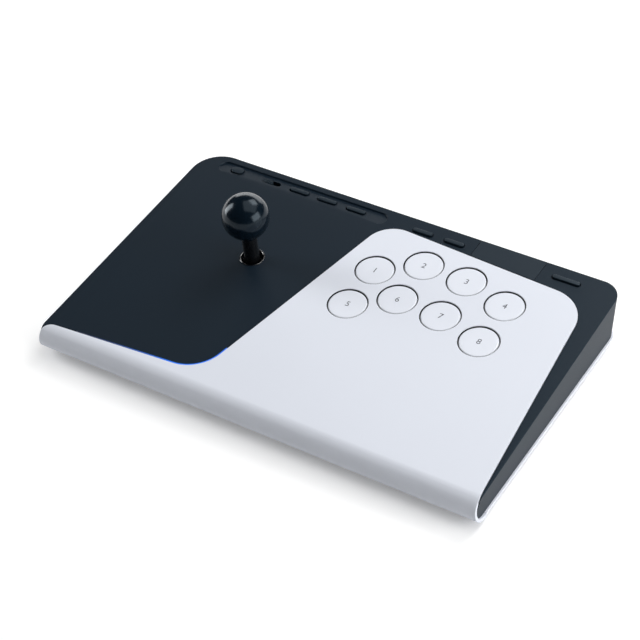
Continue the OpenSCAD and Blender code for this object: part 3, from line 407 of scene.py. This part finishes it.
def light_guide():
    material, tree, links = new_material("light_guide")
    where = tree.new("ShaderNodeTexCoord")
    split = tree.new("ShaderNodeSeparateXYZ")
    links.new(where.outputs["Object"], split.inputs[0])
    along = tree.new("ShaderNodeMapRange")
    along.inputs["From Min"].default_value = GLOW_FROM
    along.inputs["From Max"].default_value = GLOW_TO
    links.new(split.outputs["X"], along.inputs["Value"])
    ramp = tree.new("ShaderNodeValToRGB")
    for place, level in GLOW_STOPS[1:-1]:
        ramp.color_ramp.elements.new(place)
    for element, (place, level) in zip(ramp.color_ramp.elements, GLOW_STOPS):
        element.position = place
        element.color = (level, level, level, 1)
    links.new(along.outputs["Result"], ramp.inputs["Fac"])
    strength = tree.new("ShaderNodeMath")
    strength.operation = "MULTIPLY"
    strength.inputs[1].default_value = GLOW_STRENGTH
    links.new(ramp.outputs["Color"], strength.inputs[0])
    shader = tree.new("ShaderNodeBsdfPrincipled")
    shader.inputs["Base Color"].default_value = GUIDE_COLOUR
    shader.inputs["Roughness"].default_value = GUIDE_ROUGHNESS
    shader.inputs["Emission Color"].default_value = GLOW_COLOUR
    links.new(strength.outputs[0], shader.inputs["Emission Strength"])
    show(tree, links, shader)
    return material


finishes["light_guide"] = light_guide()
print("glow from", round(GLOW_FROM / MM), "to", round(GLOW_TO / MM), "mm")

# %% [markdown]
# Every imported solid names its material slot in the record, so one loop dresses them all. Setting
# finishes piece by piece would be longer, and would miss a solid sooner or later.

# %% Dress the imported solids
slot_of_node = {part["node"]: part["material_slot"] for part in frame["record"]["subparts"]}
for name, solid in nodes.items():
    solid.data.materials.clear()
    solid.data.materials.append(finishes[slot_of_node[name]])
print("finished", len(slot_of_node), "solids from", len(set(slot_of_node.values())), "slots")

# %% [markdown]
# ## Turned pieces
# A cap, a ball and a collar are all turned shapes: one half profile, spun about an axis. The
# profile is drawn in radius and height, and the spin welds its ends. Points on the axis fall on
# one another, so they are merged before the normals are set right.

# %% Spinning a profile
SPIN_STEPS = 96
SAME_POINT = 1e-7
SHARP_DEGREES = 35


def arc(centre, radius, start, end, steps):
    swing = [math.radians(start + (end - start) * k / steps) for k in range(steps + 1)]
    return [(centre[0] + radius * math.cos(a), centre[1] + radius * math.sin(a)) for a in swing]


def spun(profile, steps=SPIN_STEPS):
    shape = bmesh.new()
    points = [shape.verts.new((radius, 0, height)) for radius, height in profile]
    edges = [shape.edges.new(pair) for pair in zip(points, points[1:])]
    bmesh.ops.spin(shape, geom=points + edges, cent=(0, 0, 0), axis=(0, 0, 1),
                   angle=2 * math.pi, steps=steps, use_merge=True, use_duplicate=False)
    bmesh.ops.remove_doubles(shape, verts=shape.verts, dist=SAME_POINT)
    bmesh.ops.recalc_face_normals(shape, faces=shape.faces)
    return shape


def add_post(shape, radius, depth, middle, segments):
    bmesh.ops.create_cone(shape, cap_ends=True, segments=segments, radius1=radius,
                          radius2=radius, depth=depth,
                          matrix=Matrix.Translation((0, 0, middle)))


print("a full turn takes", SPIN_STEPS, "steps")

# %% [markdown]
# A new piece is one mesh, put in its place by a matrix and then handed to an object that stays at
# the origin. It rides on a CAD body, so that it moves as the real one does, and names the slot of
# the record that its finish belongs to. Smooth shading with a limit on the angle keeps the turned
# faces round and the moulded corners crisp, without the cost of more faces.

# %% From a shape to a piece


def add_piece(name, shape, place, finish, body, sharp=SHARP_DEGREES):
    bmesh.ops.transform(shape, matrix=place, verts=shape.verts)
    mesh = bpy.data.meshes.new(name)
    shape.to_mesh(mesh)
    shape.free()
    mesh.shade_smooth()
    mesh.set_sharp_from_angle(angle=math.radians(sharp))
    mesh.materials.append(finishes[finish])
    piece = bpy.data.objects.new(name, mesh)
    bpy.context.scene.collection.objects.link(piece)
    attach(piece, body)
    return piece


print("edges sharper than", SHARP_DEGREES, "degrees stay crisp")

# %% [markdown]
# The main buttons sit in an arc under the right hand. A real cap is a milky moulding with a
# rounded rim and a face that dishes by about a tenth of a millimetre, which is what bends the
# reflections. Its skirt ends in a flange that keeps it in the housing, and a post inside reaches
# the switch. The same spun profile serves all eight, where a bevelled cylinder would have no dish.

# %% Button caps
BUTTON_NUMBERS = range(1, 9)
BUTTONS_IN_ROW = 4
PITCH = 36 * MM
FIRST_BUTTON = (10.1 * MM, 48.646 * MM)
# Each column's place to the right and up the slope, and the second row's drop, in pitches.
COLUMNS = [(0, 0), (0.821, 0.541), (1.804, 0.508), (2.795, 0.2275)]
ROW_STEP = 1.068
CAP_RADIUS = 14.25 * MM
CAP_TOP = 0.4 * MM
CAP_WALL = 1.6 * MM
CAP_EDGE = 1.2 * MM
CAP_EDGE_STEPS = 8
CAP_DEPTH = 6.75 * MM
CAP_DISH = 0.12 * MM
DISH_SHARES = (0.25, 0.5, 0.75)
DISH_POWER = 3
CAP_FLANGE_OUT = 0.7 * MM
CAP_FLANGE_TOP = -5.55 * MM
POST_RADIUS = 2.8 * MM
POST_LENGTH = 7.25 * MM
POST_SEGMENTS = 32


def button_place(number):
    across, along = COLUMNS[(number - 1) % BUTTONS_IN_ROW]
    drop = ROW_STEP if number > BUTTONS_IN_ROW else 0
    return FIRST_BUTTON[0] + across * PITCH, FIRST_BUTTON[1] + (along - drop) * PITCH


def cap_profile():
    flat_radius = CAP_RADIUS - CAP_EDGE
    face = [(0.0, CAP_TOP - CAP_DISH)]
    for share in DISH_SHARES:
        face.append((share * flat_radius, CAP_TOP - CAP_DISH * (1 - share ** DISH_POWER)))
    rim = arc((flat_radius, CAP_TOP - CAP_EDGE), CAP_EDGE, 90, 0, CAP_EDGE_STEPS)
    flange = [
        (CAP_RADIUS, CAP_FLANGE_TOP),
        (CAP_RADIUS + CAP_FLANGE_OUT, CAP_FLANGE_TOP),
        (CAP_RADIUS + CAP_FLANGE_OUT, -CAP_DEPTH),
    ]
    inside = [
        (CAP_RADIUS - CAP_WALL, -CAP_DEPTH),
        (CAP_RADIUS - CAP_WALL, CAP_TOP - CAP_WALL),
        (0.0, CAP_TOP - CAP_WALL),
    ]
    return face + rim + flange + inside


def cap(number):
    shape = spun(cap_profile())
    add_post(shape, POST_RADIUS, POST_LENGTH, CAP_TOP - CAP_WALL - POST_LENGTH / 2,
             POST_SEGMENTS)
    u, v = button_place(number)
    piece = add_piece(f"cap_{number}", shape, on_top(u, v), "cap", f"button_cap_{number}")
    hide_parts(f"button_cap_{number}")


for number in BUTTON_NUMBERS:
    cap(number)
print("button places", [tuple(round(v / MM, 1) for v in button_place(n)) for n in BUTTON_NUMBERS])

# %% [markdown]
# ## Numerals
# Each cap carries a plain numeral, one to eight, in thin dark grey. Text is a curve in Blender, so
# it is turned into a mesh first and only then set on the cap. A negative offset thins the strokes.

# %% Numerals on the caps
NUMERAL_HEIGHT = 7.0 * MM
STROKE_OFFSET = -0.03 * MM
INK = 0.03 * MM


def numeral(number):
    curve = bpy.data.curves.new(f"numeral_{number}", "FONT")
    curve.body = str(number)
    curve.size = NUMERAL_HEIGHT
    curve.align_x = "CENTER"
    curve.align_y = "CENTER"
    curve.offset = STROKE_OFFSET
    curve.extrude = INK
    draft = bpy.data.objects.new("draft", curve)
    bpy.context.scene.collection.objects.link(draft)
    solid_draft = draft.evaluated_get(bpy.context.evaluated_depsgraph_get())
    mesh = bpy.data.meshes.new_from_object(solid_draft)
    bpy.data.objects.remove(draft)
    shape = bmesh.new()
    shape.from_mesh(mesh)
    bmesh.ops.remove_doubles(shape, verts=shape.verts, dist=SAME_POINT)
    bmesh.ops.recalc_face_normals(shape, faces=shape.faces)
    u, v = button_place(number)
    add_piece(f"numeral_{number}", shape, on_top(u, v, CAP_TOP - CAP_DISH), "legend",
              f"button_cap_{number}")


for number in BUTTON_NUMBERS:
    numeral(number)

# %% [markdown]
# ## The lever
# The ball top is one turned shape: a sphere that runs through a small fillet into its neck. The
# fillet is a circle that touches both the ball and the neck, so its centre follows from the two
# radii. A ball and a tube pushed together would leave a hard line where they meet.

# %% Ball top
LEVER = (-78.5 * MM, 21.446 * MM)
BALL_RADIUS = 17.495 * MM
BALL_HEIGHT = 39.9 * MM
BALL_ARC_STEPS = 44
BALL_SPIN_STEPS = 128
BALL_SHARP_DEGREES = 50
NECK_RADIUS = 6.1 * MM
NECK_FILLET = 2.6 * MM
NECK_FILLET_STEPS = 8
NECK_END = 21.3 * MM
NECK_LEAST = 0.2 * MM
BORE_RADIUS = 5.75 * MM
COVER_TOP = 23.9 * MM


def ball_profile():
    reach = BALL_RADIUS + NECK_FILLET
    out = NECK_RADIUS + NECK_FILLET
    drop = math.sqrt(reach ** 2 - out ** 2)
    meets = -math.degrees(math.atan2(drop, out))
    ball_arc = arc((0, BALL_HEIGHT), BALL_RADIUS, 90, meets, BALL_ARC_STEPS)
    fillet_centre = (out, BALL_HEIGHT - drop)
    fillet = arc(fillet_centre, NECK_FILLET, 180 + meets, 180, NECK_FILLET_STEPS)
    pole = (0.0, ball_arc[0][1])
    end = min(NECK_END, fillet[-1][1] - NECK_LEAST)
    neck = [(NECK_RADIUS, end), (BORE_RADIUS, end), (BORE_RADIUS, COVER_TOP), (0.0, COVER_TOP)]
    return [pole] + ball_arc[1:] + fillet[1:] + neck


ball = add_piece("ball", spun(ball_profile(), BALL_SPIN_STEPS), on_top(*LEVER), "ball", "lever",
                 sharp=BALL_SHARP_DEGREES)
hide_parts("ball_top")
print("ball", [round(v / MM, 1) for v in ball.dimensions])

# %% [markdown]
# The collar is the glossy ring that the lever comes out of. Its mouth is rolled over in a broad
# round lip, which is what catches the two bright arcs beside the shaft. The bore is widest at the
# lip and narrows to its throat three millimetres down, because the tilted lever leans out furthest
# at the mouth. A torus on a tube would give the lip too, but not the flare.

# %% Collar
COLLAR_RADIUS = 9.3 * MM
COLLAR_TOP = 0.35 * MM
COLLAR_BOTTOM = -4.1 * MM
COLLAR_SHARP_DEGREES = 40
COLLAR_EDGE_STEPS = 6
THROAT_RADIUS = 7.7 * MM
THROAT_DEPTH = 3.0 * MM
LIP_RADIUS = 0.7 * MM
LIP_END_DEGREES = 190
LIP_STEPS = 12


def collar_profile():
    shoulder = COLLAR_RADIUS - COLLAR_TOP
    edge = arc((shoulder, 0.0), COLLAR_TOP, 0, 90, COLLAR_EDGE_STEPS)
    lip = arc((shoulder, COLLAR_TOP - LIP_RADIUS), LIP_RADIUS, 90, LIP_END_DEGREES, LIP_STEPS)
    foot = [(THROAT_RADIUS, COLLAR_BOTTOM), (COLLAR_RADIUS, COLLAR_BOTTOM)]
    throat = [(THROAT_RADIUS, -THROAT_DEPTH), (THROAT_RADIUS, COLLAR_BOTTOM)]
    return foot + edge + lip[1:] + throat


collar = add_piece("collar", spun(collar_profile()), on_top(*LEVER), "collar", "case",
                   sharp=COLLAR_SHARP_DEGREES)
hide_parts("collar_ring")
print("collar", [round(v / MM, 1) for v in collar.dimensions])

# %% [markdown]
# The shaft cover is a plain tube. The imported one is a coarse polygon, and a glossy black tube
# shows every flat, so a finely turned one takes its place.

# %% Shaft cover
COVER_OUTER = 5.7 * MM
COVER_INNER = 4.05 * MM
COVER_BOTTOM = -7.0 * MM
COVER_CLEARANCE = 0.05 * MM
COVER_SPIN_STEPS = 64

cover_end = COVER_TOP - COVER_CLEARANCE
cover_profile = [
    (COVER_INNER, COVER_BOTTOM),
    (COVER_OUTER, COVER_BOTTOM),
    (COVER_OUTER, cover_end),
    (COVER_INNER, cover_end),
    (COVER_INNER, COVER_BOTTOM),
]
cover = add_piece("cover", spun(cover_profile, COVER_SPIN_STEPS), on_top(*LEVER), "cover",
                  "lever")
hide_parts("shaft_cover")
print("cover", [round(v / MM, 1) for v in cover.dimensions])

# %% [markdown]
# ## The small buttons of the rear strip
# Each small button is a long round-ended shape. It is drawn as a stack of rings: a ring is the
# same outline pulled inwards a little and set at its own height, and neighbouring rings are joined
# by quads. The operator for this, bridge_loops, chooses for itself which points to pair, and on
# these long rings it can twist the band, so that the solid's volume comes out negative. Here point k
# of one ring always meets point k of the next.

# %% A stack of round-ended rings
END_STEPS = 14


def long_ring(shape, length, width, inset, height, set_back=0.0):
    radius = width / 2 - inset
    middle = (length - width) / 2
    ring = []
    for side, start in ((1, -90), (-1, 90)):
        for k in range(END_STEPS + 1):
            a = math.radians(start + 180 * k / END_STEPS)
            x = side * middle + radius * math.cos(a)
            ring.append(shape.verts.new((x, radius * math.sin(a) + set_back, height)))
    return ring


def stacked(shape, rings):
    for low, high in zip(rings, rings[1:]):
        for k in range(len(low)):
            after = (k + 1) % len(low)
            shape.faces.new((low[k], low[after], high[after], high[k]))
    shape.faces.new(rings[-1])
    shape.faces.new(list(reversed(rings[0])))


print("each round end has", END_STEPS, "steps")

# %% [markdown]
# The upper rings follow a quarter circle, which gives the soft edge that a moulded button has. The
# part above the flange is a little narrower in front than the hole, which leaves the dark line
# that runs along each button's front side. A flange and a stem, out of sight, work the switch.

# %% Small buttons
HALF_WIDTH = 177.1 * MM
STRIP_V = 98.946 * MM
GROOVE_FLOOR = -0.578 * MM
BUTTON_ABOVE = 0.9 * MM
BUTTON_EDGE = 0.4 * MM
BUTTON_EDGE_STEPS = 5
BUTTON_SHARP_DEGREES = 40
FRONT_GAP = 0.9 * MM
FLANGE_OUT = 1.0 * MM
FLANGE_TOP = -4.4 * MM
FLANGE_BOTTOM = -5.2 * MM
STEM_RADIUS = 1.5 * MM
STEM_TOP = -4.2 * MM
STEM_BOTTOM = -5.8 * MM
STEM_SEGMENTS = 24
OVAL_LENGTH = 11.0 * MM
OVAL_WIDTH = 7.0 * MM
PILL_WIDTH = 4.4 * MM
PILL_LENGTH = 16.6 * MM
LONG_PILL_LENGTH = 22.0 * MM
# Node, place as a share of the half width, length, width, height of the surface round it.
STRIP_BUTTONS = [
    ("home_button", -0.8057, OVAL_LENGTH, OVAL_WIDTH, GROOVE_FLOOR),
    ("pill_button_1", -0.4853, PILL_LENGTH, PILL_WIDTH, GROOVE_FLOOR),
    ("pill_button_2", -0.3463, PILL_LENGTH, PILL_WIDTH, GROOVE_FLOOR),
    ("pill_button_3", -0.2029, PILL_LENGTH, PILL_WIDTH, GROOVE_FLOOR),
    ("pill_button_4", 0.1209, PILL_LENGTH, PILL_WIDTH, 0.0),
    ("pill_button_5", 0.2679, PILL_LENGTH, PILL_WIDTH, 0.0),
    ("pill_button_6", 0.7762, LONG_PILL_LENGTH, PILL_WIDTH, 0.0),
]


def strip_button(node, share, length, width, surface):
    top = surface + BUTTON_ABOVE
    narrower = FRONT_GAP / 2
    shape = bmesh.new()
    rings = [
        long_ring(shape, length, width, -FLANGE_OUT, FLANGE_BOTTOM),
        long_ring(shape, length, width, -FLANGE_OUT, FLANGE_TOP),
        long_ring(shape, length, width, narrower, FLANGE_TOP, narrower),
    ]
    for k in range(BUTTON_EDGE_STEPS + 1):
        a = math.radians(90 * k / BUTTON_EDGE_STEPS)
        inset = narrower + BUTTON_EDGE * (1 - math.cos(a))
        height = top - BUTTON_EDGE * (1 - math.sin(a))
        rings.append(long_ring(shape, length, width, inset, height, narrower))
    stacked(shape, rings)
    add_post(shape, STEM_RADIUS, STEM_TOP - STEM_BOTTOM, (STEM_TOP + STEM_BOTTOM) / 2,
             STEM_SEGMENTS)
    bmesh.ops.recalc_face_normals(shape, faces=shape.faces)
    piece = add_piece(f"strip_{node}", shape, on_top(share * HALF_WIDTH, STRIP_V),
                      "small_button", node, sharp=BUTTON_SHARP_DEGREES)
    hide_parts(node)


for button_row in STRIP_BUTTONS:
    strip_button(*button_row)
print(len(STRIP_BUTTONS), "small buttons")

# %% [markdown]
# ## Softened edges
# A moulded edge is never quite sharp: a rounding of 0.15 to 0.3 mm is what draws the thin bright
# line round the faceplate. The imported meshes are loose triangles, so each one is copied, welded
# and cleared of the lines inside its flat faces, and then its convex edges are rounded. A bevel
# can push a sharp corner out a little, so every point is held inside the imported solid's own box,
# and slivers with no area are dissolved. Where the shell still comes out facing inwards, its
# volume is negative, and all its faces are turned over. The frame's own meshes stay as they were
# packed, because the poses and the checks rely on them.

# %% Softened copies
WELD = 0.001 * MM
FLAT = math.radians(0.3)
ROUNDED_FROM = math.radians(32)
ROUNDING_SEGMENTS = 2
FACE_AREA_WEIGHT = 100
PLATE_ROUNDING = 0.3 * MM
SHELL_ROUNDING = 0.15 * MM


def welded_copy(node):
    shape = bmesh.new()
    shape.from_mesh(nodes[node].data)
    bmesh.ops.remove_doubles(shape, verts=shape.verts, dist=WELD)
    return shape


def is_convex(edge):
    return len(edge.link_faces) == 2 and edge.calc_face_angle_signed() > ROUNDED_FROM


def softened(node, finish, body, rounding, reshape=None):
    shape = welded_copy(node)
    if reshape:
        reshape(shape)
    limits = [(min(c), max(c)) for c in zip(*[v.co for v in shape.verts])]
    bmesh.ops.dissolve_limit(shape, angle_limit=FLAT, verts=shape.verts, edges=shape.edges)
    convex = [e for e in shape.edges if is_convex(e)]
    bmesh.ops.bevel(shape, geom=convex, offset=rounding, offset_type="OFFSET",
                    segments=ROUNDING_SEGMENTS, profile=0.5, affect="EDGES",
                    clamp_overlap=False, material=-1)
    for vert in shape.verts:
        vert.co = [min(max(c, low), high) for c, (low, high) in zip(vert.co, limits)]
    bmesh.ops.dissolve_degenerate(shape, dist=WELD, edges=shape.edges)
    bmesh.ops.recalc_face_normals(shape, faces=shape.faces)
    if shape.calc_volume(signed=True) < 0:
        bmesh.ops.reverse_faces(shape, faces=shape.faces)
    open_edges = sum(1 for e in shape.edges if len(e.link_faces) != 2)
    piece = add_piece(f"{node}_soft", shape, Matrix.Identity(4), finish, body)
    even = piece.modifiers.new("even_normals", "WEIGHTED_NORMAL")
    even.keep_sharp = True
    even.weight = FACE_AREA_WEIGHT
    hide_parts(node)
    print(node, len(piece.data.polygons), "faces,", len(convex), "edges rounded,",
          open_edges, "open")


softened("faceplate", "white_plate", "case", PLATE_ROUNDING)

# %% [markdown]
# The upper shell has a shallow groove along its rear strip. On the real one its rear wall leans
# back, which gives it a soft shade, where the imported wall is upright. The wall's top line is found
# by its place on the sloping top, and each point moves outwards by a share of the groove's depth
# there. A bevel would round the whole rim, also where the groove runs out to nothing in front.

# %% Upper shell with a leaning groove wall
GROOVE_LEFT = -152.32 * MM
GROOVE_RIGHT = -15.74 * MM
GROOVE_RADIUS = 6 * MM
GROOVE_TILT = math.radians(5.5)
GROOVE_LEAN = 0.35
OFF_SURFACE = 0.02 * MM
OFF_OUTLINE = 0.2 * MM


def lean_groove_wall(shape):
    moved = 0
    for vert in shape.verts:
        u, v, w = flat_frame @ vert.co
        outward = Vector((u - min(max(u, GROOVE_LEFT), GROOVE_RIGHT), v - STRIP_V, 0))
        if abs(w) < OFF_SURFACE and abs(outward.length - GROOVE_RADIUS) < OFF_OUTLINE:
            depth = max(0.0, v - STRIP_V + GROOVE_RADIUS) * math.tan(GROOVE_TILT)
            vert.co += top_turn @ (outward.normalized() * depth * GROOVE_LEAN)
            moved += 1
    print("groove wall:", moved, "points moved out")


softened("upper_shell", "dark_case", "case", SHELL_ROUNDING, reshape=lean_groove_wall)

# %% [markdown]
# The base plate and the touch panel need nothing but the rounding. The touch panel is a piece of
# its own because it clicks down, so it rides on its own body.

# %% Base plate and touch panel
softened("base_plate", "base", "case", PLATE_ROUNDING)
softened("touch_panel", "touch", "touch_panel", SHELL_ROUNDING)

# %% [markdown]
# The rim of each button housing stands between the cap and the faceplate. It is set a little lower
# than packed, so that the seam round a cap is dark only on its far side, as it is in life. Moving
# the rim's points down is enough, as the housing below them keeps its shape.

# %% Sunk rims
RIM_TOP = 0.45 * MM


def sunk_rim(node):
    shape = welded_copy(node)
    for vert in shape.verts:
        above = (flat_frame @ vert.co).z - RIM_TOP
        if above > 0:
            vert.co -= top_turn @ Vector((0, 0, above))
    piece = add_piece(f"{node}_sunk", shape, Matrix.Identity(4), "housing", "case")
    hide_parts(node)


for number in BUTTON_NUMBERS:
    sunk_rim(f"button_housing_{number}")
print(len(BUTTON_NUMBERS), "rims at", round(RIM_TOP / MM, 2), "mm over the top")
